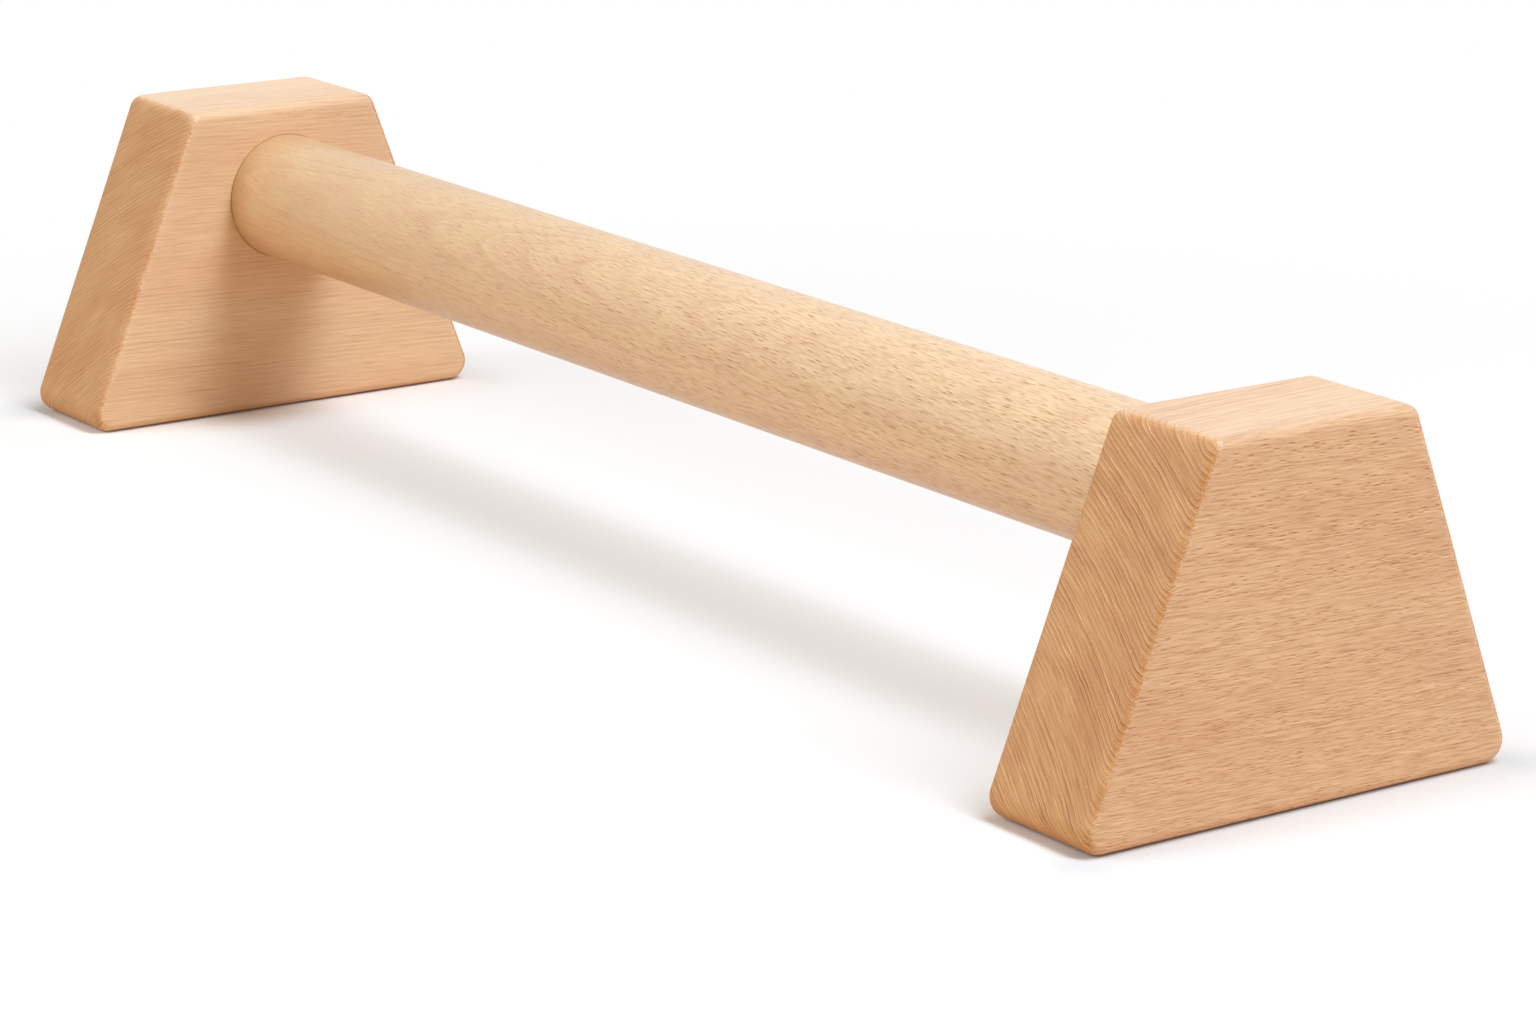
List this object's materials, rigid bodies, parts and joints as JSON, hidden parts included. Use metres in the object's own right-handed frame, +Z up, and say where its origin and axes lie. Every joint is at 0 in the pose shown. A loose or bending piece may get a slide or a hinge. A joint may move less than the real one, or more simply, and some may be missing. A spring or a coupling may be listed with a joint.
{
  "type": "parallette bar",
  "caption": "Low wooden training bar: a round grip bar held between trapezoid end blocks that stand on thin rubber pads, for handstands, L-sits and push-ups.",
  "frame": {"origin": "on the floor, midway between the two end blocks and under the bar", "axes": "+X along the bar, towards the right end block; +Y across the bar; +Z up"},
  "size_m": [0.53, 0.14, 0.1],
  "materials": {
    "block_wood": "oiled beech, satin",
    "bar_wood": "sanded beech, matt",
    "screw_steel": "zinc plated",
    "pad_rubber": "matt"
  },
  "bodies": {
    "root": {"grip_bar": "bar_wood", "left_end_block": "block_wood", "right_end_block": "block_wood", "left_lock_screw": "screw_steel", "right_lock_screw": "screw_steel", "left_front_pad": "pad_rubber", "left_rear_pad": "pad_rubber", "right_front_pad": "pad_rubber", "right_rear_pad": "pad_rubber"}
  },
  "joints": []
}
